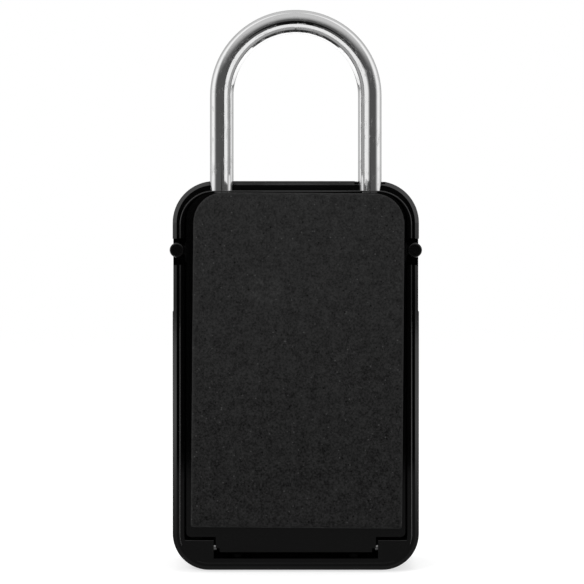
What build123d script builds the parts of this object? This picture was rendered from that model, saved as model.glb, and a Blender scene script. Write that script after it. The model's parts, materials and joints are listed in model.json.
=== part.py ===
from build123d import *
import os

# Padlock key safe with a padded, hinged back. Millimetres, +Z up.
# The padded back faces -Y and the number wheels face +Y.
# Heights in the upper half are measured down from the top of the case.
# A cut runs 1 mm past each face that it opens.

# Case
case_width = 83.8
case_height = 132.3
case_depth = 46.8
top_corner = 14.2
bottom_corner = 12.4
side_wall = 2.7
top_wall = 3.5
bottom_wall = 3.0
front_wall = 2.4
front_round = 5.0
edge_chamfer = 1.4

# Rear frame, proud of the case
rim_proud = 4.8
rim_wall = 1.6
rim_top_wall = 0.45
rim_bottom_wall = 1.7
rim_reach = 8.6
rim_round = 0.5
frame_screw_spread = 20.0
frame_screw_forward = 5.2
frame_boss_radius = 3.0
frame_boss_height = 4.0

# Back door
door_thickness = 1.1
door_side_gap = 0.7
door_top_gap = 0.3
door_corner = 9.3
door_shoulder = 12.0
door_shoulder_round = 1.5
knuckle_radius = 2.4
knuckle_inset = 9.9
knuckle_chamfer = 1.3
knuckle_drop_gap = 1.1
ear_gap = 0.7
ear_top_gap = 1.0
ear_root = 0.8
ear_round = 0.5
hinge_pin_radius = 1.25
pin_end_gap = 0.6

# Foam pad, laid by hand
pad_thickness = 2.0
pad_side_margin = 1.35
pad_low = 15.1
pad_corner = 10.3
pad_low_corner = 0.6
pad_top_margin = 0.1
pad_turn = -0.46
pad_shift = 0.65
pad_edge_round = 0.4

# Key tray
tray_inset = 3.9
tray_low = 12.6
tray_top_gap = 2.5
tray_reach = 16.4
tray_wall = 1.5
tray_corner = 4.0
tray_rivet_inset = 9.0
tray_rivet_edge = 14.0
rivet_radius = 1.2
rivet_head = 2.3
rivet_head_height = 0.8
rivet_head_round = 0.5

# Shackle
bar_radius = 4.0
leg_margin = 16.75
shackle_rise = 58.1
leg_inset = 5.4
leg_end_gap = 0.1
leg_chamfer = 0.7
groove_depth = 1.0
groove_height = 2.4
counterbore_radius = 5.3
counterbore_depth = 1.1

# Shackle block and its lock plate
block_side_wall = 2.2
block_drop = 28.3
block_top_gap = 0.3
block_bore_floor = 1.5
block_round = 3.0
block_screw_spread = 14.0
block_screw_rise = 2.0
block_screw_length = 5.0
relief_margin = 4.0
relief_depth = 6.0
relief_rise = 2.5
relief_drop = 10.0
lock_rise = 8.0
lock_plate_thickness = 1.8
lock_plate_front = 6.0
lock_plate_inset = 0.8
lock_plate_long = 1.4
lock_plate_short = 0.6
lock_travel = 2.5
tab_half_width = 5.0
tab_half_height = 3.6
tab_seat = 0.4
tab_round = 0.8
tab_rib_pitch = 2.5
tab_rib_half = 0.4
tab_rib_depth = 0.35
tab_rib_margin = 1.0

# Inner panel
panel_front = -1.1
panel_thickness = 1.5
panel_gap = 0.3
post_radius = 3.4
post_gap = 1.15
post_low = 8.6
post_drop = 11.3
post_hole_depth = 9.0
post_screw_length = 7.0

# Small screws
screw_radius = 1.0
screw_head = 2.1
screw_head_height = 1.3
screw_head_sink = 0.2
shank_overlap = 0.3
drive_depth = 0.5
drive_half_width = 0.35
drive_reach = 1.3

# Release slider
slider_thickness = 1.5
slider_arm_gap = 1.5
slider_above_lug = 4.3
slider_below_lug = 12.7
arm_thickness = 1.4
arm_wall_gap = 0.2
lug_radius = 2.5
lug_inset = 1.8
lug_drop = 23.6
lug_length = 6.6
lug_rear_gap = 0.2
lug_round = 0.7
lug_slot_depth = 5.0
lug_track_length = 15.7
lug_track_depth = 0.4
stem_half_height = 1.5
stem_end_gap = 0.8
travel_up = 1.4
travel_down = 2.4
keeper_thickness = 2.2
keeper_height = 3.2
keeper_below_lug = 1.7
keeper_leg = 0.9
hook_width = 1.8
hook_height = 1.8
hook_gap = 0.3
guide_inset = 7.0
guide_rise = 3.0
guide_radius = 1.6
guide_head_rim = 1.3
guide_head_height = 1.0
guide_slot_reach = 1.8

# Slider springs
spring_radius = 2.5
wire_radius = 0.3
spring_length = 16.0
spring_turns = 7
spring_inset = 3.5
spring_seat_half = 3.0
spring_seat_rise = 2.0
shelf_thickness = 1.5

# Number wheels
wheel_count = 4
wheel_pitch = 10.0
wheel_width = 8.0
wheel_radius = 9.5
wheel_flat = 9.3
wheel_flat_half = 3.0
wheel_chamfer = 0.5
wheel_below_lug = 8.7
wheel_recess = 0.4
wheel_digits = 10
scallop_radius = 1.7
scallop_out = 0.7
sleeve_radius = 4.0
spindle_radius = 2.0
spindle_chamfer = 0.3
cam_radius = 6.2
cam_thickness = 1.4
gate_width = 4.6
gate_depth = 2.2
clip_radius = 3.5
clip_thickness = 0.8
clip_groove = 0.5
clip_mouth_half = 1.2

# Fence bar on the slider
fence_thickness = 1.2
fence_overhang = 4.0
fence_web_rise = 0.6
fence_rivet_drop = 2.0
fence_rivet_head = 1.7
fence_rivet_height = 0.7

# Wheel cradle and detent spring
cradle_wall = 1.6
cradle_below_wheel = 15.0
cradle_above_wheel = 6.5
cradle_slider_gap = 2.0
cradle_round = 4.0
cradle_foot_half = 18.0
cradle_screw_spread = 12.0
cradle_screw_drop = 4.0
cradle_hole_depth = 1.8
detent_leaf = 0.5
detent_half = 5.5
detent_margin = 1.5
detent_half_width = 19.5

# Dial window, bezel and shutter
window_side_margin = 4.4
window_half_height = 10.4
window_corner = 1.5
bezel_frame = 2.4
bezel_flange = 1.0
bezel_flange_width = 1.6
bezel_flange_corner = 2.0
bezel_inner_corner = 0.8
bezel_mark = 0.9
recess_side_margin = 4.6
recess_depth = 2.6
recess_below_wheel = 39.4
recess_floor = 2.2
recess_corner = 3.0
shutter_height = 28.0
shutter_thickness = 1.5
shutter_travel = 25.6
tongue_width = 0.9
tongue_thickness = 1.0
grip_ribs = 7
rib_pitch = 2.2
rib_radius = 0.75
rib_reach = 13.0
rib_sink = 0.5

# Code lever
lever_drop = 12.0
lever_shift = -7.0
lever_length = 17.0
lever_radius = 4.0
lever_thickness = 1.5
lever_half_height = 2.2
lever_grip_radius = 1.4
lever_grip_height = 0.9
lever_pin_radius = 1.5
lever_pin_rim = 1.1
lever_pin_head = 0.6

# Clearances
fit = 0.05
running = 0.08
play = 0.1
bore_gap = 0.15
side_gap = 0.2
slack = 0.3

# Planes and places worked out from the sizes above
front_y = (case_depth + pad_thickness) / 2
rear_y = front_y - case_depth
pad_rear = rear_y - pad_thickness
band_y = rear_y + rim_proud
rim_front = band_y + rim_reach
door_inner = rear_y + door_thickness
case_half = case_width / 2
cavity_half = case_half - side_wall
cavity_high = case_height - top_wall
cavity_corner_high = top_corner - side_wall
cavity_corner_low = bottom_corner - side_wall
cavity_front = front_y - front_wall
opening_half = cavity_half - rim_wall
opening_high = cavity_high - rim_top_wall
opening_low = bottom_wall + rim_bottom_wall
door_half = opening_half - door_side_gap
door_high = opening_high - door_top_gap
knuckle_half_length = door_half - knuckle_inset
hinge_y = rear_y + knuckle_radius
hinge_z = opening_low + knuckle_drop_gap + knuckle_radius
ear_inner = knuckle_half_length + ear_gap
ear_high = door_shoulder - ear_top_gap
leg_x = case_half - leg_margin
leg_y = rear_y + leg_inset
arch_z = case_height + shackle_rise - bar_radius - leg_x
block_half = leg_x + bar_radius + block_side_wall
block_low = case_height - block_drop
block_high = opening_high - block_top_gap
block_rear = door_inner + 3 * slack
leg_end = block_low + block_bore_floor + leg_end_gap
lock_height = block_low + lock_rise
lock_plate_rear = leg_y - bar_radius + lock_plate_inset
tray_half_width = door_half - tray_inset
tray_high = block_low - tray_top_gap
panel_rear = panel_front - panel_thickness
post_spread = block_half + screw_head + post_gap
post_high = case_height - post_drop
block_screw_z = post_high + block_screw_rise
slider_rear = panel_front + side_gap
slider_front = slider_rear + slider_thickness
arm_outer = opening_half - arm_wall_gap
arm_inner = arm_outer - arm_thickness
arm_rear = door_inner + slack
slider_half_width = arm_inner - slider_arm_gap
lug_out = case_half - lug_inset
lug_height = case_height - lug_drop
slider_low = lug_height - slider_below_lug
slider_high = lug_height + slider_above_lug
arm_low = lug_height - lug_radius
arm_high = lug_height + lug_radius
slot_low = arm_low - travel_down - play
slot_high = arm_high + travel_up + play
slot_front = band_y + lug_slot_depth
keeper_low = lug_height - keeper_below_lug
keeper_outer = arm_inner - slack
keeper_inner = keeper_outer - keeper_thickness
keeper_front = door_inner + 2 * keeper_leg + hook_width + 2 * slack
hook_rear = door_inner + keeper_leg + slack
hook_top = keeper_low - hook_gap
guide_spread = slider_half_width - guide_inset
guide_height = (slider_low + slider_high) / 2 + guide_rise
spring_spread = slider_half_width - spring_inset
spring_y = slider_front + spring_radius + side_gap
spring_front = spring_y + spring_radius + side_gap
tab_low = slider_low + spring_seat_rise
shelf_top = tab_low - spring_length
wheel_height = lug_height - wheel_below_lug
wheel_half = wheel_width / 2
wheel_centres = [(i - (wheel_count - 1) / 2) * wheel_pitch for i in range(wheel_count)]
cam_start = wheel_half + play
cam_end = cam_start + cam_thickness
window_half_width = wheel_centres[-1] + wheel_half + window_side_margin
window_low = wheel_height - window_half_height
window_high = wheel_height + window_half_height
recess_half_width = window_half_width + recess_side_margin
recess_low = wheel_height - recess_below_wheel
recess_high = recess_low + shutter_height + shutter_travel + 2 * slack
recess_y = front_y - recess_depth
boss_y = recess_y - recess_floor
bezel_rear = boss_y - bezel_flange
wheel_y = recess_y - wheel_recess - wheel_radius
cradle_low = wheel_height - cradle_below_wheel
cradle_high = wheel_height + cradle_above_wheel
cradle_inner = wheel_centres[-1] + cam_end + 3 * slack
cradle_outer = cradle_inner + cradle_wall
cradle_rear = slider_front + cradle_slider_gap
cradle_screw_z = cradle_low - cradle_screw_drop
spindle_end = cradle_outer + 2 * clip_thickness
fence_rivet_z = slider_high - fence_rivet_drop
lever_height = block_low - lever_drop


def span(low, high):
    return low + (high - low) / 2, high - low


def span_of(middle, reach):
    return middle - reach, middle + reach


def block(x, y, z):
    # A square-cornered block between the low and high value on each axis.
    (cx, dx), (cy, dy), (cz, dz) = span(*x), span(*y), span(*z)
    return Pos(cx, cy, cz) * Box(dx, dy, dz)


def rod_x(radius, low, high, y, z):
    return Pos((low + high) / 2, y, z) * Rot(0, 90, 0) * Cylinder(radius, high - low)


def rod_y(radius, low, high, x, z):
    return Pos(x, (low + high) / 2, z) * Rot(90, 0, 0) * Cylinder(radius, high - low)


def rod_z(radius, low, high, x, y):
    return Pos(x, y, (low + high) / 2) * Cylinder(radius, high - low)


def outline(half_width, low, high, low_radius, high_radius):
    # A rounded rectangle seen along Y, between two heights.
    face = Pos(0, (low + high) / 2) * Rectangle(2 * half_width, high - low)
    face = fillet(face.vertices().group_by(Axis.Y)[0], low_radius)
    return fillet(face.vertices().group_by(Axis.Y)[-1], high_radius)


def slab(face, low, high):
    # The outline made solid between two Y planes.
    return extrude(Plane.XZ.offset(-high) * face, high - low)


def both_sides(shape):
    return [shape, mirror(shape, Plane.YZ)]


def screw(head_radius, head_low, head_high, shank_low, shank_high, x, z):
    # A pan-headed screw along Y with a cross cut across its head.
    outside = head_low if abs(head_low) > abs(shank_low) else head_high
    head = rod_y(head_radius, head_low, head_high, x, z)
    deep = (outside - drive_depth, outside + drive_depth)
    head -= block(span_of(x, drive_half_width), deep, span_of(z, drive_reach))
    head -= block(span_of(x, drive_reach), deep, span_of(z, drive_half_width))
    return head + rod_y(screw_radius, shank_low, shank_high, x, z)


def post_places():
    return [(sx * post_spread, z) for sx in (-1, 1) for z in (post_low, post_high)]


def frame_screw_places():
    y = band_y + frame_screw_forward
    return [(-frame_screw_spread, y), (frame_screw_spread, y)]


def case_outline(inset=0.0):
    half, low, high = case_half - inset, inset, case_height - inset
    return outline(half, low, high, bottom_corner - inset, top_corner - inset)


def cavity_outline(gap=0.0):
    low, high = bottom_wall + gap, cavity_high - gap
    corners = cavity_corner_low - gap, cavity_corner_high - gap
    return outline(cavity_half - gap, low, high, *corners)


def lug_slot(inner):
    slots = block((inner, case_half + 1), (rear_y - 1, slot_front), (slot_low, slot_high))
    return both_sides(slots)


def make_housing():
    body = slab(case_outline(), band_y, front_y)
    body = fillet(body.edges().group_by(Axis.Y)[-1], front_round)
    body = chamfer(body.edges().group_by(Axis.Y)[0], edge_chamfer)
    body -= slab(cavity_outline(), band_y - 1, cavity_front)
    seat_low, seat_high = recess_low - recess_floor, recess_high + recess_floor
    seat_corner = recess_corner + recess_floor
    seat = outline(recess_half_width + recess_floor, seat_low, seat_high, seat_corner, seat_corner)
    body += slab(seat, boss_y, cavity_front)
    recess = outline(recess_half_width, recess_low, recess_high, recess_corner, recess_corner)
    body -= slab(recess, recess_y, front_y + 1)
    groove_end = recess_half_width + tongue_width + side_gap
    groove_front = recess_y + tongue_thickness + 2 * slack
    groove = block((-groove_end, groove_end), (recess_y, groove_front), (recess_low, recess_high))
    body -= groove
    window = outline(window_half_width, window_low, window_high, window_corner, window_corner)
    body -= slab(window, boss_y - 1, recess_y + 1)
    for x, z in post_places():
        body += rod_y(post_radius, panel_front, cavity_front + 1, x, z)
        body -= rod_y(screw_radius + fit, panel_front - 1, panel_front + post_hole_depth, x, z)
    for x in (-cradle_screw_spread, cradle_screw_spread):
        body -= rod_y(screw_radius + fit, boss_y - 1, boss_y + cradle_hole_depth, x, cradle_screw_z)
    for sx in (-1, 1):
        body -= rod_z(bar_radius + bore_gap, cavity_high - 1, case_height + 1, sx * leg_x, leg_y)
    seat_floor = case_height - counterbore_depth
    body -= rod_z(counterbore_radius, seat_floor, case_height + 1, leg_x, leg_y)
    body -= lug_slot(cavity_half - 1)
    track_x = (case_half - lug_track_depth, case_half + 1)
    track_z = (slot_low - lug_track_length, slot_low)
    body -= both_sides(block(track_x, (band_y - 1, slot_front), track_z))
    for x, y in frame_screw_places():
        body -= rod_z(screw_radius + fit, -1, bottom_wall + 1, x, y)
        body -= rod_z(screw_head + side_gap, -1, screw_head_height + slack, x, y)
    return body


def make_rear_frame():
    corners = cavity_corner_low - rim_wall, cavity_corner_high - rim_wall
    body = slab(cavity_outline(fit), rear_y, rim_front)
    body = fillet(body.edges().group_by(Axis.Y)[0], rim_round)
    door_way = outline(opening_half, opening_low, opening_high, *corners)
    body -= slab(door_way, rear_y - 1, rim_front + 1)
    ear_z = (opening_low - ear_root, ear_high)
    ear = block((ear_inner, opening_half + ear_root), (rear_y, hinge_y + knuckle_radius), ear_z)
    ear = fillet(ear.edges().filter_by(Axis.X).group_by(Axis.Z)[-1], ear_round)
    ear = ear & slab(cavity_outline(fit), rear_y, rim_front)
    body += both_sides(ear)
    bore_end = opening_half - pin_end_gap + play
    body -= both_sides(rod_x(hinge_pin_radius + fit, ear_inner - 1, bore_end, hinge_y, hinge_z))
    for sx in (-1, 1):
        body -= rod_z(bar_radius + bore_gap, opening_high - 1, case_height, sx * leg_x, leg_y)
    body -= lug_slot(opening_half - 1)
    for x, y in frame_screw_places():
        boss_high = opening_low + frame_boss_height
        body += rod_z(frame_boss_radius, opening_low - ear_root, boss_high, x, y)
        body -= rod_z(screw_radius + fit, bottom_wall - 1, boss_high - 1, x, y)
    return body


def make_frame_screws():
    screws = []
    deep = (0, screw_head_sink + drive_depth)
    head_high = screw_head_sink + screw_head_height
    shank_high = opening_low + frame_boss_height - 1 - side_gap
    for x, y in frame_screw_places():
        head = rod_z(screw_head, screw_head_sink, head_high, x, y)
        head -= block(span_of(x, drive_half_width), span_of(y, drive_reach), deep)
        head -= block(span_of(x, drive_reach), span_of(y, drive_half_width), deep)
        shank = rod_z(screw_radius, head_high - shank_overlap, shank_high, x, y)
        screws.append(head + shank)
    return screws


def make_door_plate():
    plate = outline(door_half, door_shoulder, door_high, door_shoulder_round, door_corner)
    body = slab(plate, rear_y, door_inner)
    half = knuckle_half_length
    knuckle = rod_x(knuckle_radius, -half, half, hinge_y, hinge_z)
    knuckle = chamfer(knuckle.edges().filter_by(GeomType.CIRCLE), knuckle_chamfer)
    body += block((-half, half), (rear_y, door_inner), (hinge_z, door_shoulder + 1)) + knuckle
    body -= rod_x(hinge_pin_radius + running, -half - 1, half + 1, hinge_y, hinge_z)
    for x, z in rivet_places():
        body -= rod_y(rivet_radius + fit, rear_y - 1, door_inner + 1, x, z)
    return body


def rivet_places():
    low, high = tray_low + tray_rivet_edge, tray_high - tray_rivet_edge
    return [(sx * (tray_half_width - tray_rivet_inset), z) for sx in (-1, 1) for z in (low, high)]


def make_foam_pad():
    high = door_high - pad_top_margin
    middle = (pad_low + high) / 2
    face = outline(door_half - pad_side_margin, pad_low, high, pad_low_corner, pad_corner)
    turned = Pos(pad_shift, middle) * Rot(0, 0, pad_turn) * Pos(0, -middle) * face
    body = slab(turned, pad_rear, rear_y)
    return fillet(body.edges().group_by(Axis.Y)[0], pad_edge_round)


def make_key_tray():
    front = door_inner + tray_reach
    outer = outline(tray_half_width, tray_low, tray_high, tray_corner, tray_corner)
    inner_corner = tray_corner - tray_wall
    inner_low, inner_high = tray_low + tray_wall, tray_high - tray_wall
    inner = outline(tray_half_width - tray_wall, inner_low, inner_high, inner_corner, inner_corner)
    body = slab(outer, door_inner, front) - slab(inner, door_inner + tray_wall, front + 1)
    for x, z in rivet_places():
        body -= rod_y(rivet_radius + fit, door_inner - 1, front, x, z)
    return body


def make_tray_rivets():
    rivets = []
    head_low = door_inner + tray_wall
    for x, z in rivet_places():
        head = rod_y(rivet_head, head_low, head_low + rivet_head_height, x, z)
        head = fillet(head.edges().group_by(Axis.Y)[-1], rivet_head_round)
        rivets.append(head + rod_y(rivet_radius, rear_y, head_low + shank_overlap, x, z))
    return rivets


def make_latch_keepers():
    top = keeper_low + keeper_height
    keeper = block((keeper_inner, keeper_outer), (door_inner, keeper_front), (keeper_low, top))
    pocket = (door_inner + keeper_leg, keeper_front - keeper_leg)
    pocket_top = keeper_low + travel_up + slack
    keeper -= block((keeper_inner - 1, keeper_outer + 1), pocket, (keeper_low - 1, pocket_top))
    return both_sides(keeper)


def make_shackle():
    start = (-leg_x, leg_y, leg_end)
    end = (leg_x, leg_y, leg_end)
    left_leg = Line(start, (-leg_x, leg_y, arch_z))
    arch = ThreePointArc((-leg_x, leg_y, arch_z), (0, leg_y, arch_z + leg_x), (leg_x, leg_y, arch_z))
    right_leg = Line((leg_x, leg_y, arch_z), end)
    path = Wire([left_leg, arch, right_leg])
    body = sweep(Plane(origin=start, z_dir=(0, 0, 1)) * Circle(bar_radius), path=path)
    body = chamfer(body.edges().filter_by(GeomType.CIRCLE).group_by(Axis.Z)[0], leg_chamfer)
    groove_low = lock_height - groove_height / 2
    groove_high = groove_low + groove_height
    for sx in (-1, 1):
        ring = rod_z(bar_radius + 1, groove_low, groove_high, sx * leg_x, leg_y)
        ring -= rod_z(bar_radius - groove_depth, groove_low, groove_high, sx * leg_x, leg_y)
        body -= ring
    return body


def make_shackle_block():
    body = block((-block_half, block_half), (block_rear, panel_rear), (block_low, block_high))
    body = fillet(body.edges().filter_by(Axis.Y), block_round)
    bore_low = block_low + block_bore_floor
    for sx in (-1, 1):
        body -= rod_z(bar_radius + running, bore_low, block_high + 1, sx * leg_x, leg_y)
    slot_y = (block_rear - 1, panel_rear - lock_plate_front + play)
    slot_z = span_of(lock_height, lock_plate_thickness / 2 + play)
    body -= block((-block_half - 1, block_half + 1), slot_y, slot_z)
    room = (-tab_half_width - slack, tab_half_width + lock_travel + slack)
    depth = (block_rear - 1, lock_plate_rear + 1)
    body -= block(room, depth, span_of(lock_height, tab_half_height + slack))
    relief = leg_x - bar_radius - relief_margin
    relief_z = (lock_height + relief_rise, block_high - relief_drop)
    body -= block((-relief, relief), (panel_rear - relief_depth, panel_rear + 1), relief_z)
    hole_end = panel_rear - block_screw_length - 1
    for x, z in block_screw_places():
        body -= rod_y(screw_radius + fit, hole_end, panel_rear + 1, x, z)
    return body


def block_screw_places():
    return [(-block_screw_spread, block_screw_z), (block_screw_spread, block_screw_z)]


def make_lock_plate():
    z = span_of(lock_height, lock_plate_thickness / 2)
    left, right = -block_half - lock_plate_long, block_half - lock_plate_short
    y = (lock_plate_rear, panel_rear - lock_plate_front)
    body = block((left, right), y, z)
    narrow = bar_radius - groove_depth + play
    for sx in (-1, 1):
        centre = sx * leg_x
        body -= rod_z(bar_radius + bore_gap, z[0] - 1, z[1] + 1, centre, leg_y)
        body -= rod_z(narrow, z[0] - 1, z[1] + 1, centre - lock_travel, leg_y)
        body -= block((centre - lock_travel, centre), (y[0] - 1, leg_y + narrow), (z[0] - 1, z[1] + 1))
    seat = (y[0] - 1, y[0] + tab_seat)
    body -= block((-tab_half_width, tab_half_width), seat, (z[0] - 1, z[1] + 1))
    return body


def make_lock_tab():
    rear = door_inner + slack
    height = span_of(lock_height, tab_half_height)
    body = block((-tab_half_width, tab_half_width), (rear, lock_plate_rear + tab_seat), height)
    body = fillet(body.edges().filter_by(Axis.Y), tab_round)
    cut_y = (rear - 1, rear + tab_rib_depth)
    cut_z = span_of(lock_height, tab_half_height - tab_rib_margin)
    for x in (-tab_rib_pitch, 0, tab_rib_pitch):
        body -= block(span_of(x, tab_rib_half), cut_y, cut_z)
    return body


def make_inner_panel():
    low, high = bottom_wall + panel_gap, cavity_high - panel_gap
    corners = cavity_corner_low - panel_gap, cavity_corner_high - panel_gap
    body = slab(outline(cavity_half - panel_gap, low, high, *corners), panel_rear, panel_front)
    notch_z = (slot_low - side_gap, slot_high + side_gap)
    notch = block((arm_inner - slack, cavity_half + 1), (panel_rear - 1, panel_front + 1), notch_z)
    body -= both_sides(notch)
    shelf_x = span_of(spring_spread, spring_seat_half)
    shelf = block(shelf_x, (panel_rear, spring_front), (shelf_top - shelf_thickness, shelf_top))
    body += both_sides(shelf)
    for x, z in post_places() + block_screw_places():
        body -= rod_y(screw_radius + fit, panel_rear - 1, panel_front + 1, x, z)
    for sx in (-1, 1):
        body -= rod_y(guide_radius, panel_rear - 1, panel_front + 1, sx * guide_spread, guide_height)
    body -= rod_y(lever_pin_radius, panel_rear - 1, panel_front + 1, lever_shift, lever_height)
    return body


def make_panel_screws():
    head = (panel_rear - screw_head_height, panel_rear)
    shank = (panel_rear - shank_overlap, panel_front + post_screw_length)
    return [screw(screw_head, *head, *shank, x, z) for x, z in post_places()]


def make_block_screws():
    head = (panel_front, panel_front + screw_head_height)
    shank = (panel_rear - block_screw_length, panel_front + shank_overlap)
    return [screw(screw_head, *head, *shank, x, z) for x, z in block_screw_places()]


def make_guide_screws():
    screws = []
    z = guide_height
    head_low = slider_front + play
    head_high = head_low + guide_head_height
    cut_y = (head_high - drive_depth, head_high + 1)
    for x in (-guide_spread, guide_spread):
        head = rod_y(guide_radius + guide_head_rim, head_low, head_high, x, z)
        head -= block(span_of(x, guide_slot_reach), cut_y, span_of(z, drive_half_width))
        screws.append(head + rod_y(guide_radius, panel_rear, head_low + shank_overlap, x, z))
    return screws


def make_hinge_pin():
    end = opening_half - pin_end_gap
    return rod_x(hinge_pin_radius, -end, end, hinge_y, hinge_z)


def make_release_slider():
    y = (slider_rear, slider_front)
    body = block((-slider_half_width, slider_half_width), y, (slider_low, slider_high))
    seat_x = span_of(spring_spread, spring_seat_half)
    seat_z = (tab_low, tab_low + shelf_thickness)
    body += both_sides(block(seat_x, (slider_rear, spring_front), seat_z))
    body += both_sides(block((slider_half_width - 1, arm_outer), y, (arm_low, arm_high)))
    body += both_sides(block((arm_inner, arm_outer), (arm_rear, slider_front), (arm_low, arm_high)))
    hook_y = (hook_rear, hook_rear + hook_width)
    hook_z = (hook_top - hook_height, hook_top)
    body += both_sides(block((keeper_inner, arm_outer), hook_y, hook_z))
    body += both_sides(block((arm_inner, arm_outer), hook_y, (hook_top - hook_height, arm_high)))
    half = guide_radius + fit
    slot_z = (guide_height - travel_up - half, guide_height + travel_down + half)
    slot = block(span_of(guide_spread, half), (y[0] - 1, y[1] + 1), slot_z)
    body -= both_sides(slot)
    for x in fence_rivet_places():
        body -= rod_y(screw_radius + fit, y[0] - 1, y[1] + 1, x, fence_rivet_z)
    return body


def make_release_lugs():
    start = rear_y + lug_rear_gap
    end = start + lug_length
    lug = rod_y(lug_radius, start, end, lug_out, lug_height)
    lug = fillet(lug.edges().filter_by(GeomType.CIRCLE), lug_round)
    stem_z = span_of(lug_height, stem_half_height)
    stem = block((arm_outer, lug_out), (arm_rear, end - stem_end_gap), stem_z)
    return both_sides(lug + stem)


def spring(x):
    height = spring_length - 2 * (wire_radius + fit)
    base = shelf_top + wire_radius + fit
    radius = spring_radius - wire_radius
    path = Helix(pitch=height / spring_turns, height=height, radius=radius)
    section = Plane(origin=path @ 0, z_dir=path % 0) * Circle(wire_radius)
    return Pos(x, spring_y, base) * sweep(section, path=path, is_frenet=True)


def fence_rivet_places():
    return [-wheel_pitch / 2, wheel_pitch / 2]


def make_fence_bar():
    low = wheel_height + cam_radius + travel_down + slack
    front = slider_front + fence_thickness
    left = wheel_centres[0] + cam_start - fence_overhang
    right = wheel_centres[-1] + cam_end - side_gap
    web_z = (low + fence_web_rise, slider_high)
    body = block((left, right), (slider_front, front), web_z)
    tooth_y = (slider_front, wheel_y + gate_width / 2 - slack)
    for centre in wheel_centres:
        tooth = (centre + cam_start + side_gap, centre + cam_end)
        body += block(tooth, tooth_y, (low, slider_high))
    for x in fence_rivet_places():
        body -= rod_y(screw_radius + fit, slider_front - 1, front + 1, x, fence_rivet_z)
    return body


def make_fence_rivets():
    rivets = []
    head_low = slider_front + fence_thickness
    head_high = head_low + fence_rivet_height
    for x in fence_rivet_places():
        head = rod_y(fence_rivet_head, head_low, head_high, x, fence_rivet_z)
        shank = rod_y(screw_radius, slider_rear, head_low + shank_overlap, x, fence_rivet_z)
        rivets.append(head + shank)
    return rivets


def make_number_wheel(centre):
    low, high = centre - wheel_half, centre + wheel_half
    body = rod_x(wheel_radius, low, high, wheel_y, wheel_height)
    body = chamfer(body.edges().filter_by(GeomType.CIRCLE), wheel_chamfer)
    step = 360 / wheel_digits
    flat_z = span_of(0, wheel_flat_half)
    flat = block((low - 1, high + 1), (wheel_flat, wheel_radius + 1), flat_z)
    notch_y = wheel_radius + scallop_out
    notch = Rot(step / 2, 0, 0) * rod_x(scallop_radius, low - 1, high + 1, notch_y, 0)
    for i in range(wheel_digits):
        turn = Pos(0, wheel_y, wheel_height) * Rot(i * step, 0, 0)
        body -= turn * flat
        body -= turn * notch
    return body - rod_x(sleeve_radius + running, low - 1, high + 1, wheel_y, wheel_height)


def make_cam_sleeve(centre):
    tube_low = centre - wheel_half - side_gap
    tube = rod_x(sleeve_radius, tube_low, centre + cam_end, wheel_y, wheel_height)
    cam = rod_x(cam_radius, centre + cam_start, centre + cam_end, wheel_y, wheel_height)
    gate_low = wheel_height + cam_radius - gate_depth
    gate_z = (gate_low, gate_low + gate_depth + 1)
    cam -= block((centre, centre + wheel_pitch), span_of(wheel_y, gate_width / 2), gate_z)
    body = tube + cam
    bore = (centre - wheel_pitch, centre + wheel_pitch)
    return body - rod_x(spindle_radius + running, *bore, wheel_y, wheel_height)


def make_spindle():
    body = rod_x(spindle_radius, -spindle_end, spindle_end, wheel_y, wheel_height)
    groove_low = cradle_outer + play
    groove_high = groove_low + clip_thickness + play
    ring = rod_x(spindle_radius + 1, groove_low, groove_high, wheel_y, wheel_height)
    ring -= rod_x(spindle_radius - clip_groove, groove_low, groove_high, wheel_y, wheel_height)
    body -= both_sides(ring)
    return chamfer(body.edges().filter_by(GeomType.CIRCLE).group_by(Axis.X)[0], spindle_chamfer)


def make_spindle_clips():
    low = cradle_outer + bore_gap
    high = low + clip_thickness
    bore = spindle_radius - clip_groove + fit
    clip = rod_x(clip_radius, low, high, wheel_y, wheel_height)
    clip -= rod_x(bore, low - 1, high + 1, wheel_y, wheel_height)
    mouth_z = (wheel_height - clip_radius - 1, wheel_height)
    clip -= block((low - 1, high + 1), span_of(wheel_y, clip_mouth_half), mouth_z)
    return both_sides(clip)


def make_spindle_washer():
    high = wheel_centres[0] - wheel_half - 2 * side_gap
    washer = rod_x(sleeve_radius, -cradle_inner + play, high, wheel_y, wheel_height)
    return washer - rod_x(spindle_radius + fit, -cradle_inner - 1, high + 1, wheel_y, wheel_height)


def make_wheel_cradle():
    y = (cradle_rear, bezel_rear - play)
    side = block((cradle_inner, cradle_outer), y, (cradle_low, cradle_high))
    side = fillet(side.edges().filter_by(Axis.X).group_by(Axis.Z)[-1], cradle_round)
    side -= rod_x(spindle_radius + fit, 0, cradle_outer + 1, wheel_y, wheel_height)
    base = block((-cradle_outer, cradle_outer), y, (cradle_low, cradle_low + cradle_wall))
    foot_z = (cradle_screw_z - cradle_screw_drop, cradle_low + cradle_wall)
    foot_rear = boss_y - cradle_wall
    body = base + both_sides(side)
    body += block(span_of(0, cradle_foot_half), (foot_rear, boss_y), foot_z)
    for x in (-cradle_screw_spread, cradle_screw_spread):
        body -= rod_y(screw_radius + fit, foot_rear - 1, boss_y + 1, x, cradle_screw_z)
    return body


def make_cradle_screws():
    rear = boss_y - cradle_wall
    head = (rear - screw_head_height, rear)
    shank = (rear - shank_overlap, boss_y + cradle_hole_depth - side_gap)
    places = (-cradle_screw_spread, cradle_screw_spread)
    return [screw(screw_head, *head, *shank, x, cradle_screw_z) for x in places]


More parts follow.
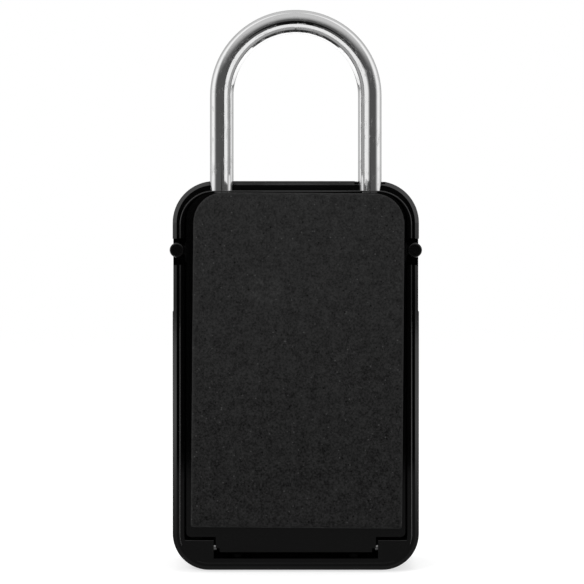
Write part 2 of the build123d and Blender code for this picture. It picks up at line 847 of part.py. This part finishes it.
def make_detent_spring():
    base = cradle_low + cradle_wall
    leaf = detent_leaf
    rise = wheel_height - wheel_radius - slack - leaf - base
    radius = (detent_half * detent_half + rise * rise) / (2 * rise)
    centre_z = base + leaf + rise - radius
    plate_y = span_of(wheel_y, detent_half + detent_margin)
    body = block(span_of(0, detent_half_width), plate_y, (base, base + leaf))
    for centre in wheel_centres:
        low, high = span_of(centre, wheel_half - detent_margin)
        arch = rod_x(radius, low, high, wheel_y, centre_z)
        arch -= rod_x(radius - leaf, low - 1, high + 1, wheel_y, centre_z)
        above = block((low, high), plate_y, (base + leaf / 2, base + leaf + rise + 1))
        body += arch & above
    return body


def make_dial_bezel():
    body = slab(window_outline(-play, window_corner - play), bezel_rear, recess_y)
    flange = window_outline(bezel_flange_width, bezel_flange_corner)
    body += slab(flange, bezel_rear, boss_y)
    body -= slab(window_outline(-bezel_frame, bezel_inner_corner), bezel_rear - 1, recess_y + 1)
    mark_x = window_half_width - bezel_frame + bezel_mark
    mark = Rot(0, 45, 0) * Box(bezel_mark, bezel_mark, bezel_mark)
    body -= both_sides(Pos(mark_x, recess_y, wheel_height) * mark)
    return body


def window_outline(grow, corner):
    half = window_half_width + grow
    return outline(half, window_low - grow, window_high + grow, corner, corner)


def make_dial_shutter():
    low = recess_low + slack
    high = low + shutter_height
    rear = recess_y + slack
    front = rear + shutter_thickness
    half = recess_half_width - slack
    body = slab(outline(half, low, high, recess_corner, recess_corner), rear, front)
    tongue = (-half - tongue_width, half + tongue_width)
    tongue_z = (low + recess_corner, high - recess_corner)
    body += block(tongue, (rear, rear + tongue_thickness), tongue_z)
    for i in range(grip_ribs):
        step = i - (grip_ribs - 1) / 2
        z = (low + high) / 2 + step * rib_pitch
        reach = rib_reach - abs(step)
        rib = rod_x(rib_radius, -reach, reach, front, z)
        body += rib & block((-reach, reach), (front - rib_sink, front_y), span_of(z, rib_radius))
    return body


def make_code_lever():
    y = (panel_rear - play - lever_thickness, panel_rear - play)
    x, z = lever_shift, lever_height
    body = rod_y(lever_radius, y[0], y[1], x, z)
    tip = x + lever_length
    body += block((x, tip), y, span_of(z, lever_half_height))
    body += rod_y(lever_half_height, y[0], y[1], tip, z)
    body += rod_y(lever_grip_radius, y[0] - lever_grip_height, y[1], tip, z)
    return body - rod_y(lever_pin_radius + running, y[0] - 1, y[1] + 1, x, z)


def make_lever_pin():
    rear = panel_rear - 2 * play - lever_thickness
    head = rod_y(lever_pin_radius + lever_pin_rim, rear - lever_pin_head, rear, lever_shift, lever_height)
    shank = rod_y(lever_pin_radius, rear - side_gap, panel_front, lever_shift, lever_height)
    return head + shank


def write(name, shape):
    solids = shape if isinstance(shape, list) else [shape]
    pieces = [solid for item in solids for solid in item.solids()]
    export_step(Compound(children=pieces) if len(pieces) > 1 else pieces[0], f"parts/{name}.step")


os.makedirs("parts", exist_ok=True)
write("housing", make_housing())
write("rear_frame", make_rear_frame())
write("frame_screws", make_frame_screws())
write("door_plate", make_door_plate())
write("foam_pad", make_foam_pad())
write("key_tray", make_key_tray())
write("tray_rivets", make_tray_rivets())
write("latch_keepers", make_latch_keepers())
write("hinge_pin", make_hinge_pin())
write("shackle", make_shackle())
write("shackle_block", make_shackle_block())
write("block_screws", make_block_screws())
write("shackle_lock_plate", make_lock_plate())
write("lock_tab", make_lock_tab())
write("inner_panel", make_inner_panel())
write("panel_screws", make_panel_screws())
write("slider_guide_screws", make_guide_screws())
write("release_slider", make_release_slider())
write("release_lugs", make_release_lugs())
write("slider_spring_left", spring(-spring_spread))
write("slider_spring_right", spring(spring_spread))
write("fence_bar", make_fence_bar())
write("fence_rivets", make_fence_rivets())
for number, centre in enumerate(wheel_centres, start=1):
    write(f"number_wheel_{number}", make_number_wheel(centre))
    write(f"cam_sleeve_{number}", make_cam_sleeve(centre))
write("wheel_spindle", make_spindle())
write("spindle_clips", make_spindle_clips())
write("spindle_washer", make_spindle_washer())
write("wheel_cradle", make_wheel_cradle())
write("cradle_screws", make_cradle_screws())
write("wheel_detent_spring", make_detent_spring())
write("dial_bezel", make_dial_bezel())
write("dial_shutter", make_dial_shutter())
write("code_change_lever", make_code_lever())
write("lever_pin", make_lever_pin())
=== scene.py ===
import json
import math

import bmesh
import bpy
import numpy as np
from mathutils import Matrix, Vector


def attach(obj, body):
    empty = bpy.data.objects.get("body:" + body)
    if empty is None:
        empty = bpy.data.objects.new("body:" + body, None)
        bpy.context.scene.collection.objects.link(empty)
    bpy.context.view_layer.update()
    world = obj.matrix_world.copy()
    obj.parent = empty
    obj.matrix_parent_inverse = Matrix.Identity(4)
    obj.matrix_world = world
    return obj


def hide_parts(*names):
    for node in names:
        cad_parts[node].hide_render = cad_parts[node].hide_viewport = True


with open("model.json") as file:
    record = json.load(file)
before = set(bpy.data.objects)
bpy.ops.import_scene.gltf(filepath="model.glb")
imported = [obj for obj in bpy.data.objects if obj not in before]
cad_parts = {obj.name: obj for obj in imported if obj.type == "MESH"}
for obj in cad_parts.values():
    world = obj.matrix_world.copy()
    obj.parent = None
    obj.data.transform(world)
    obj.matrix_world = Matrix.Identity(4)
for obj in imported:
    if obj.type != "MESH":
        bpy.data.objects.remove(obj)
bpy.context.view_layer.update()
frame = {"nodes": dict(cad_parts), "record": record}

MM = 0.001

# Places that the CAD source gives
ARCH_Z = 161.25 * MM                    # where the shackle's legs turn into its arch
WHEEL_X = [-15 * MM, -5 * MM, 5 * MM, 15 * MM]
WHEEL_Y, WHEEL_Z = 11.9 * MM, 100.0 * MM
WHEEL_FLAT = 9.3 * MM                   # from a wheel's axis to its flats

# Foam sheet
PAD_FRONT, PAD_BACK = -22.4 * MM, -24.4 * MM
PAD_HALF, PAD_LOW, PAD_HIGH = 35.55 * MM, 15.1 * MM, 127.95 * MM
PAD_CORNER, PAD_EDGE = 10.3 * MM, 0.4 * MM
PAD_SHIFT, PAD_TURN = 0.65 * MM, 0.46   # how far it is off centre, and askew in degrees
PAD_GRID = 0.6 * MM                     # width of its mesh's faces
PAD_WAVES = ((18 * MM, 0.10 * MM), (1.1 * MM, 0.05 * MM))   # each one's size and depth
PAD_CUT = 0.7 * MM                      # width of the paler edge
SCUFF_X, SCUFF_Z = -10.3 * MM, 95.2 * MM

# Digits on the wheels
DIGIT_SIZE, DIGIT_BOLD = 6.1 * MM, 0.06 * MM
DIGIT_RISE, DIGIT_ROUND = 0.06 * MM, 0.03 * MM
DIGIT_LIFT = 0.02 * MM                  # from the flat to the middle of the digit

# Stage
FLOOR_SIZE, FLOOR_SHIFT = (8, 4.4), 1.8
LAMPS_AIM = Vector((0, 0, 0.09))
CAMERA, LENS = (-1.29 * MM, -667.6 * MM, 94.55 * MM), 118.0


# Shader nodes

class Value:
    """A shader socket that takes part in arithmetic."""

    def __init__(self, tree, socket):
        self.tree, self.socket = tree, socket

    def math(self, operation, *terms):
        node = self.tree.nodes.new("ShaderNodeMath")
        node.operation = operation
        for socket, term in zip(node.inputs, terms):
            plug(self.tree, socket, term)
        return Value(self.tree, node.outputs[0])

    def __add__(self, other):
        return self.math("ADD", self, other)

    def __sub__(self, other):
        return self.math("SUBTRACT", self, other)

    def __rsub__(self, other):
        return self.math("SUBTRACT", other, self)

    def __mul__(self, other):
        return self.math("MULTIPLY", self, other)

    def __pow__(self, other):
        return self.math("POWER", self, other)

    def __abs__(self):
        return self.math("ABSOLUTE", self)

    __radd__, __rmul__ = __add__, __mul__

    def low(self, other):
        return self.math("MINIMUM", self, other)

    def high(self, other):
        return self.math("MAXIMUM", self, other)

    def root(self):
        return self.math("SQRT", self)


def plug(tree, socket, term):
    """Links a Value to the socket, or gives the socket a number, a grey or a vector."""
    if isinstance(term, Value):
        tree.links.new(term.socket, socket)
    elif hasattr(socket.default_value, "__len__") and not hasattr(term, "__len__"):
        socket.default_value = [term] * 3 + [1.0] * (len(socket.default_value) - 3)
    else:
        socket.default_value = term


def named(sockets, name):
    """The socket in use with that identifier, or else with that name."""
    in_use = [socket for socket in sockets if socket.enabled]
    found = [socket for socket in in_use if socket.identifier == name]
    found += [socket for socket in in_use if socket.name == name]
    return found[0]


class Finish:
    """The nodes of one material, or of the world."""

    def __init__(self, owner):
        owner.use_nodes = True
        self.owner, self.tree = owner, owner.node_tree
        self.tree.nodes.clear()

    def node(self, kind, settings=(), sockets=(), out=None):
        """Adds a node and gives its named output, or else its first one in use."""
        node = self.tree.nodes.new(kind)
        for name, value in dict(settings).items():
            setattr(node, name, value)
        for name, term in dict(sockets).items():
            plug(self.tree, named(node.inputs, name), term)
        if out is None:
            out = next(socket for socket in node.outputs if socket.enabled).identifier
        return Value(self.tree, named(node.outputs, out))

    def place(self):
        return self.node("ShaderNodeTexCoord", out="Object")

    def rays(self):
        """Whether the ray comes from the camera, from a reflection or through glass."""
        kinds = ("Camera", "Glossy", "Transmission")
        return [self.node("ShaderNodeLightPath", out=f"Is {kind} Ray") for kind in kinds]

    def axes(self, vector):
        node = self.tree.nodes.new("ShaderNodeSeparateXYZ")
        plug(self.tree, node.inputs[0], vector)
        return [Value(self.tree, socket) for socket in node.outputs]

    def vector(self, x, y, z):
        return self.node("ShaderNodeCombineXYZ", (), {"X": x, "Y": y, "Z": z})

    def noise(self, size, detail=3.0, rough=0.5, place=None):
        """Soft noise whose patches are about that size, in metres."""
        sockets = {"Scale": 1 / size, "Detail": detail, "Roughness": rough}
        sockets["Vector"] = self.place() if place is None else place
        return self.node("ShaderNodeTexNoise", (), sockets)

    def cells(self, size):
        """How far each point is from the middle of its cell, from 0 up."""
        sockets = {"Scale": 1 / size, "Vector": self.place()}
        return self.node("ShaderNodeTexVoronoi", (), sockets, "Distance")

    def between(self, value, start, end, low=0.0, high=1.0):
        """value taken smoothly from start..end to low..high."""
        sockets = {"Value": value, "From Min": start, "From Max": end}
        sockets.update({"To Min": low, "To Max": high})
        settings = {"interpolation_type": "SMOOTHSTEP"}
        return self.node("ShaderNodeMapRange", settings, sockets)

    def mix(self, factor, one, other):
        sockets = {"Factor": factor, "A": one, "B": other}
        return self.node("ShaderNodeMix", {"data_type": "RGBA"}, sockets)

    def bump(self, height, distance, strength):
        sockets = {"Height": height, "Distance": distance, "Strength": strength}
        return self.node("ShaderNodeBump", (), sockets)

    def glow(self, strength):
        sockets = {"Color": grey(1.0), "Strength": strength}
        return self.node("ShaderNodeEmission", (), sockets)

    def surface(self, **sockets):
        spaced = {name.replace("_", " "): term for name, term in sockets.items()}
        return self.end(self.node("ShaderNodeBsdfPrincipled", (), spaced))

    def end(self, shader):
        kind = "World" if isinstance(self.owner, bpy.types.World) else "Material"
        node = self.tree.nodes.new(f"ShaderNodeOutput{kind}")
        self.tree.links.new(shader.socket, node.inputs["Surface"])
        return self.owner


def grey(level, warmth=0.0):
    return (level * (1 + warmth), level, level * (1 - warmth), 1.0)


def finish(name):
    return Finish(bpy.data.materials.new(name))


# Finishes

def gloss_black(name, level, rough, peel):
    """Black lacquer: a faint orange peel, dust in the hollows and wiped smudges."""
    f = finish(name)
    smudge = f.between(f.noise(16 * MM, 4.0, 0.6), 0.48, 0.72)
    dust = f.between(f.cells(0.9 * MM), 0.10, 0.02) * f.between(f.noise(7 * MM), 0.55, 0.75)
    colour = f.mix(smudge * 0.25 + dust * 0.5, grey(level), grey(level * 3.2))
    gloss = rough + smudge * 0.07 + f.noise(2.2 * MM) * 0.03 + dust * 0.25
    skin = f.bump(f.noise(peel, 2.0), 0.006 * MM, 0.6)
    return f.surface(Base_Color=colour, Roughness=gloss, Normal=skin, IOR=1.5)


def satin_plastic(name, level, rough, grain):
    """Moulded plastic with a fine spark-eroded grain."""
    f = finish(name)
    pits = f.noise(grain, 5.0, 0.65)
    colour = f.mix(f.between(pits, 0.35, 0.7), grey(level * 0.8), grey(level * 1.35))
    gloss = rough + f.noise(9 * MM) * 0.08 + pits * 0.10
    skin = f.bump(pits, 0.02 * MM, 0.7)
    return f.surface(Base_Color=colour, Roughness=gloss, Normal=skin, IOR=1.49)


def plated_metal(name, level, rough, tint, along, blotch):
    """Plated metal: fine lines, drawn out along X, and a faint clouding of the plating."""
    f = finish(name)
    x, y, z = f.axes(f.place())
    drawn = f.noise(0.22 * MM, 4.0, 0.6, f.vector(x * along, y, z))
    cloud = f.between(f.noise(6 * MM, 4.0, 0.6), 0.3, 0.75)
    spots = f.between(f.cells(1.6 * MM), 0.16, 0.04) * f.between(f.noise(5 * MM), 0.5, 0.7)
    base = f.mix(cloud * blotch, grey(level, tint), grey(level * 0.62, tint * 2.5))
    colour = f.mix(spots * 0.5, base, grey(level * 0.35))
    gloss = rough + drawn * 0.16 + cloud * 0.08
    skin = f.bump(drawn, 0.01 * MM, 0.5)
    return f.surface(Base_Color=colour, Metallic=1.0, Roughness=gloss, Normal=skin)


def bright_chrome(name):
    """Bright chrome over a drawn bar: its lines follow the bar round the arch."""
    f = finish(name)
    x, y, z = f.axes(f.place())
    above = (z - ARCH_Z).high(0.0)
    across = (x * x + above * above).root()
    along = z + above.math("ARCTAN2", above, abs(x)) * 0.02
    drawn = f.noise(0.30 * MM, 3.0, 0.55, f.vector(across, y, along * 0.01))
    film = f.between(f.noise(11 * MM, 4.0, 0.6), 0.45, 0.8)
    streaks = f.noise(0.55 * MM, 3.0, 0.6, f.vector(across, y, along * 0.16))
    marks = f.between(streaks, 0.51, 0.63) * f.between(f.noise(5 * MM), 0.40, 0.58)
    colour = f.mix(film * 0.35, grey(0.86), grey(0.72, 0.01))
    gloss = 0.045 + drawn * 0.05 + film * 0.05 + marks * 0.28
    skin = f.bump(drawn, 0.004 * MM, 0.5)
    return f.surface(Base_Color=colour, Metallic=1.0, Roughness=gloss, Normal=skin)


def charcoal_foam(name):
    """Closed-cell foam: fine grain, painted glints as pale flecks, painted shade in dark pits,
    one scuff, a paler cut edge.
    """
    f = finish(name)
    pores = f.between(f.cells(0.9 * MM), 0.04, 0.40)
    fine = f.noise(0.65 * MM, 5.0, 0.85)
    # painted glints: pale specks in the colour that stand in for sparkle off the foam's cells
    painted_glints = f.between(f.cells(1.9 * MM), 0.17, 0.07) * f.between(f.noise(1.7 * MM), 0.45, 0.6)
    # painted shade: dark dots in the colour that stand in for the shade inside the foam's pits
    pits = f.between(f.cells(2.3 * MM), 0.15, 0.06) * f.between(f.noise(2.1 * MM), 0.42, 0.58)
    mottle = f.between(f.noise(4 * MM, 3.0, 0.6), 0.35, 0.65)
    x, y, z = f.axes(f.place())
    from_scuff = {"Vector": f.vector(x - SCUFF_X, 0.0, z - SCUFF_Z)}
    away = f.node("ShaderNodeVectorMath", {"operation": "LENGTH"}, from_scuff, "Value")
    ragged = f.between(f.noise(3 * MM, 4.0, 0.6), 0.42, 0.62)
    scuff = f.between(away, 8 * MM, 1 * MM) * ragged
    cut = f.node("ShaderNodeAttribute", {"attribute_name": "cut_edge"}, out="Fac")
    # the foam's colour is a little darker towards the bottom and lighter towards the top
    lighter_upwards = f.between(z, 20 * MM, 125 * MM, -0.05, 0.05)
    grain = f.between(fine, 0.30, 0.70) * 0.50 + pores * 0.1 + mottle * 0.08
    # the painted glints add lightness and the painted shade in the pits takes it away
    light = grain + scuff * 0.25 + painted_glints * 0.85 - pits * 0.45 + lighter_upwards - 0.08
    charcoal = f.mix(light, grey(0.0010), grey(0.0560))
    colour = f.mix(cut * 0.5, charcoal, grey(0.040))
    rough = 0.85 + fine * 0.12
    skin = f.bump(pores * 0.5 + fine * 0.5, 0.10 * MM, 0.8)
    return f.surface(Base_Color=colour, Roughness=rough, Normal=skin, Specular_IOR_Level=0.12)


def worn_paint(name):
    f = finish(name)
    worn = f.between(f.noise(0.8 * MM, 4.0, 0.6), 0.35, 0.7)
    colour = f.mix(worn, grey(0.62, 0.02), grey(0.80, 0.01))
    skin = f.bump(worn, 0.01 * MM, 0.5)
    return f.surface(Base_Color=colour, Roughness=0.45 + worn * 0.2, Normal=skin)


# How light, how rough, and how wide the orange peel
LACQUERS = {
    "case_black": (0.0007, 0.06, 1.3 * MM),
    "door_black": (0.0008, 0.08, 0.8 * MM),
    "lug_black": (0.0006, 0.22, 0.8 * MM),
    "slider_black": (0.0020, 0.16, 0.6 * MM),
    "panel_steel": (0.0160, 0.32, 0.5 * MM),
}
# How light, how rough, and how wide the grain
PLASTICS = {
    "tray_plastic": (0.030, 0.42, 0.35 * MM),
    "wheel_plastic": (0.0080, 0.30, 0.25 * MM),
    "shutter_plastic": (0.0090, 0.34, 0.30 * MM),
    "bezel_plastic": (0.0150, 0.28, 0.30 * MM),
}
# How light, how rough, how warm, how lined (1 for no lines, and less for longer ones
# along X), and how clouded
PLATED = {
    "lock_steel": (0.60, 0.26, -0.02, 0.03, 0.6),
    "pin_steel": (0.58, 0.16, 0.0, 1.0, 0.3),
    "screw_steel": (0.24, 0.28, 0.0, 1.0, 0.5),
    "spring_steel": (0.50, 0.20, 0.0, 1.0, 0.3),
    "sleeve_brass": (0.50, 0.24, 0.45, 0.05, 0.3),
}

finishes = {name: gloss_black(name, *numbers) for name, numbers in LACQUERS.items()}
finishes.update({name: satin_plastic(name, *numbers) for name, numbers in PLASTICS.items()})
finishes.update({name: plated_metal(name, *numbers) for name, numbers in PLATED.items()})
finishes["shackle_chrome"] = bright_chrome("shackle_chrome")
finishes["foam"] = charcoal_foam("foam")
finishes["digit_paint"] = worn_paint("digit_paint")

slots = {part["node"]: part["material_slot"] for part in frame["record"]["subparts"]}
for node, obj in frame["nodes"].items():
    obj.data.materials.clear()
    obj.data.materials.append(finishes[slots[node]])


# Modelling helpers

def pick(obj):
    """Selects that object alone and makes it the active one."""
    bpy.ops.object.select_all(action="DESELECT")
    obj.select_set(True)
    bpy.context.view_layer.objects.active = obj


def apply_modifier(obj, kind, **settings):
    pick(obj)
    modifier = obj.modifiers.new(kind.lower(), kind)
    for name, value in settings.items():
        setattr(modifier, name, value)
    bpy.ops.object.modifier_apply(modifier=modifier.name)


def fit_out(obj, name, body):
    obj.name = obj.data.name = name
    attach(obj, body)


# Foam sheet

def foam_sheet():
    """The foam sheet on the door, cut square through and laid a little askew."""
    centre = Vector((0, (PAD_BACK + PAD_FRONT) / 2, (PAD_LOW + PAD_HIGH) / 2))
    bpy.ops.mesh.primitive_cube_add(size=1, location=centre)
    sheet = bpy.context.object
    sheet.dimensions = (2 * PAD_HALF, PAD_FRONT - PAD_BACK, PAD_HIGH - PAD_LOW)
    pick(sheet)
    bpy.ops.object.transform_apply(location=True, rotation=True, scale=True)
    round_upper_corners(sheet, centre.z)
    sharp = {"limit_method": "ANGLE", "angle_limit": 0.9}
    apply_modifier(sheet, "BEVEL", width=PAD_EDGE, segments=2, **sharp)
    apply_modifier(sheet, "REMESH", mode="VOXEL", voxel_size=PAD_GRID, use_smooth_shade=True)
    apply_modifier(sheet, "SMOOTH", factor=0.5, iterations=3)
    mark_cut_edge(sheet)
    for size, depth in PAD_WAVES:
        clouds = bpy.data.textures.new("foam_waves", "CLOUDS")
        clouds.noise_scale, clouds.noise_depth = size, 1
        waves = {"texture": clouds, "texture_coords": "LOCAL", "mid_level": 0.5}
        apply_modifier(sheet, "DISPLACE", strength=depth, **waves)
    shift = Matrix.Translation(centre + Vector((PAD_SHIFT, 0, 0)))
    turn = Matrix.Rotation(math.radians(PAD_TURN), 4, "Y")
    sheet.data.transform(shift @ turn @ Matrix.Translation(-centre))
    sheet.data.update()
    sheet.data.materials.append(finishes["foam"])
    return sheet


def round_upper_corners(sheet, middle):
    """Rounds the edges that run through the sheet above its middle."""
    bpy.ops.object.mode_set(mode="EDIT")
    bpy.ops.mesh.select_mode(type="EDGE")
    bpy.ops.mesh.select_all(action="DESELECT")
    mesh = bmesh.from_edit_mesh(sheet.data)
    for edge in mesh.edges:
        a, b = (vertex.co for vertex in edge.verts)
        edge.select = abs(a.y - b.y) > MM and a.z > middle
    mesh.select_flush_mode()
    bpy.ops.mesh.bevel(offset=PAD_CORNER, segments=16, clamp_overlap=False)
    bpy.ops.object.mode_set(mode="OBJECT")


def mark_cut_edge(sheet):
    """Stores how near each point is to the sheet's cut edge, from 0 on its faces to 1."""
    points = np.empty(len(sheet.data.vertices) * 3, np.float32)
    sheet.data.vertices.foreach_get("co", points)
    points = points.reshape(-1, 3)
    x, z = np.abs(points[:, 0]), points[:, 2]
    past_x = np.maximum(x - (PAD_HALF - PAD_CORNER), 0)
    past_z = np.maximum(z - (PAD_HIGH - PAD_CORNER), 0)
    from_corner = PAD_CORNER - np.hypot(past_x, past_z)
    inside = np.minimum(np.minimum(from_corner, PAD_HALF - x), z - PAD_LOW)
    level = np.clip(1 - inside / PAD_CUT, 0, 1).astype(np.float32)
    attribute = sheet.data.attributes.new("cut_edge", "FLOAT", "POINT")
    attribute.data.foreach_set("value", level)


sheet = foam_sheet()
fit_out(sheet, "foam_sheet", "back_door")
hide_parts("foam_pad")


# Digits

def digit(character):
    """One raised digit on the front flat of a wheel at the origin."""
    bpy.ops.object.select_all(action="DESELECT")
    bpy.ops.object.text_add()
    text = bpy.context.object
    text.data.body = character
    text.data.align_x, text.data.align_y = "CENTER", "CENTER"
    text.data.size, text.data.resolution_u = DIGIT_SIZE, 5
    text.data.extrude, text.data.offset = DIGIT_RISE, DIGIT_BOLD
    text.data.bevel_depth, text.data.bevel_resolution = DIGIT_ROUND, 1
    bpy.ops.object.convert(target="MESH")
    out = WHEEL_FLAT + DIGIT_LIFT
    facing = Matrix(((-1, 0, 0, 0), (0, 0, 1, out), (0, 1, 0, 0), (0, 0, 0, 1)))
    text.data.transform(facing)
    return text


def wheel_digits():
    """The ten digits of one wheel, modelled once and copied to the other wheels."""
    digits = [digit(str(number)) for number in range(10)]
    pick(digits[0])
    for number, one in enumerate(digits):
        one.data.transform(Matrix.Rotation(math.radians(36 * number), 4, "X"))
        one.select_set(True)
    bpy.ops.object.join()
    ring = bpy.context.object
    ring.data.materials.append(finishes["digit_paint"])
    for number, x in enumerate(WHEEL_X, start=1):
        mesh = ring.data.copy()
        mesh.transform(Matrix.Translation((x, WHEEL_Y, WHEEL_Z)))
        name = f"wheel_digits_{number}"
        obj = bpy.data.objects.new(name, mesh)
        bpy.context.scene.collection.objects.link(obj)
        fit_out(obj, name, f"wheel_{number}")
    bpy.data.objects.remove(ring)


wheel_digits()


# Stage, light and camera

def make_world():
    """White to the camera, even light on dull surfaces, and a room in reflections.

    The room is white at both sides above the horizon, half as bright behind the
    object and grey overhead. Straight behind the camera, a narrow gap is dark from
    just above the horizon down.
    """
    world = bpy.data.worlds.new("studio")
    f = Finish(world)
    x, y, z = f.axes(f.node("ShaderNodeTexCoord", out="Generated"))
    camera, glossy, through = f.rays()
    round_from_camera = abs(x.math("ARCTAN2", x, y * -1.0))
    white = f.between(round_from_camera, 0.75, 1.5) ** 2.0
    half = f.between(round_from_camera, 1.70, 2.30, 1.0, 0.45)
    sides = 0.085 + white * half * f.between(z, -0.01, 0.07, 0.22, 0.95)
    overhead = f.between(z, 0.16, 0.80, 0.045, 0.62)
    off_gap = f.between(round_from_camera, 0.10, 0.16) + f.between(z, 0.050, 0.064)
    room = sides.high(overhead) * (0.05 + off_gap * 0.95).low(1.0)
    shown = camera.high(through)
    plain = 0.62 * (1 - glossy.high(shown))
    level = shown + plain + glossy * room
    f.end(f.node("ShaderNodeBackground", (), {"Color": grey(1.0), "Strength": level}))
    bpy.context.scene.world = world


def make_floor():
    """A pale sweep under and behind the object, which shows white but for its shadow.

    In reflections it glows, brightly behind the object and faintly in front of it.
    """
    bpy.ops.mesh.primitive_plane_add(size=1)
    floor = bpy.context.object
    floor.name = "floor"
    stretch = Matrix.Diagonal((*FLOOR_SIZE, 1, 1))
    floor.data.transform(Matrix.Translation((0, FLOOR_SHIFT, 0)) @ stretch)
    f = finish("floor_paper")
    camera, glossy, through = f.rays()
    near = f.between(f.axes(f.place())[1], 0.06, -0.02)
    share = camera.high(through) * 0.35 + glossy * (0.35 + near * 0.65)
    shaders = {
        "Shader": f.node("ShaderNodeBsdfDiffuse", (), {"Color": grey(0.86)}),
        "Shader_001": f.glow(1.86 - glossy * near * 1.71),
    }
    f.end(f.node("ShaderNodeMixShader", (), {"Fac": share, **shaders}))
    floor.data.materials.append(f.owner)


def make_card(name, size, place, turn, level):
    """A glowing card near the shackle that only reflections show, fading towards one end."""
    rotation = [math.radians(angle) for angle in turn]
    bpy.ops.mesh.primitive_plane_add(size=1, rotation=rotation)
    card = bpy.context.object
    card.name = name
    card.dimensions = (*size, 0)
    card.location = place
    f = finish(name)
    fade = f.between(f.axes(f.place())[0], 0.50, 0.18, 0.1, 1.0)
    f.end(f.glow(fade * level))
    card.data.materials.append(f.owner)
    for ray in ("camera", "diffuse", "transmission", "shadow", "volume_scatter"):
        setattr(card, f"visible_{ray}", False)


def make_lamp(name, place, size, power):
    light = bpy.data.lights.new(name, "AREA")
    light.shape, light.energy = "RECTANGLE", power
    light.size, light.size_y = size
    lamp = bpy.data.objects.new(name, light)
    bpy.context.scene.collection.objects.link(lamp)
    lamp.location = place
    aim = LAMPS_AIM - lamp.location
    lamp.rotation_euler = aim.to_track_quat("-Z", "Y").to_euler()
    lamp.visible_glossy = False


def make_camera():
    """Square on to the padded back, as the photograph was taken."""
    camera = bpy.data.objects.new("camera", bpy.data.cameras.new("camera"))
    bpy.context.scene.collection.objects.link(camera)
    camera.location = CAMERA
    camera.rotation_euler = (math.radians(90), 0, 0)
    camera.data.sensor_width, camera.data.lens = 36.0, LENS
    camera.data.clip_start, camera.data.clip_end = 0.01, 20.0
    bpy.context.scene.camera = camera


make_world()
make_floor()
make_card("strip_card", size=(37 * MM, 38 * MM), turn=(90, 0, 0), level=0.95,
          place=(6.5 * MM, -44.5 * MM, 152.5 * MM))
make_card("middle_card", size=(15 * MM, 34 * MM), turn=(90, 0, 90), level=0.36,
          place=(0, -25.5 * MM, 152.5 * MM))
make_lamp("key", place=(-0.55, -0.75, 0.75), size=(0.5, 0.5), power=4.0)
make_lamp("top", place=(0.1, 0.1, 0.95), size=(0.7, 0.5), power=3.0)
make_camera()
bpy.context.scene.view_settings.view_transform = "Standard"
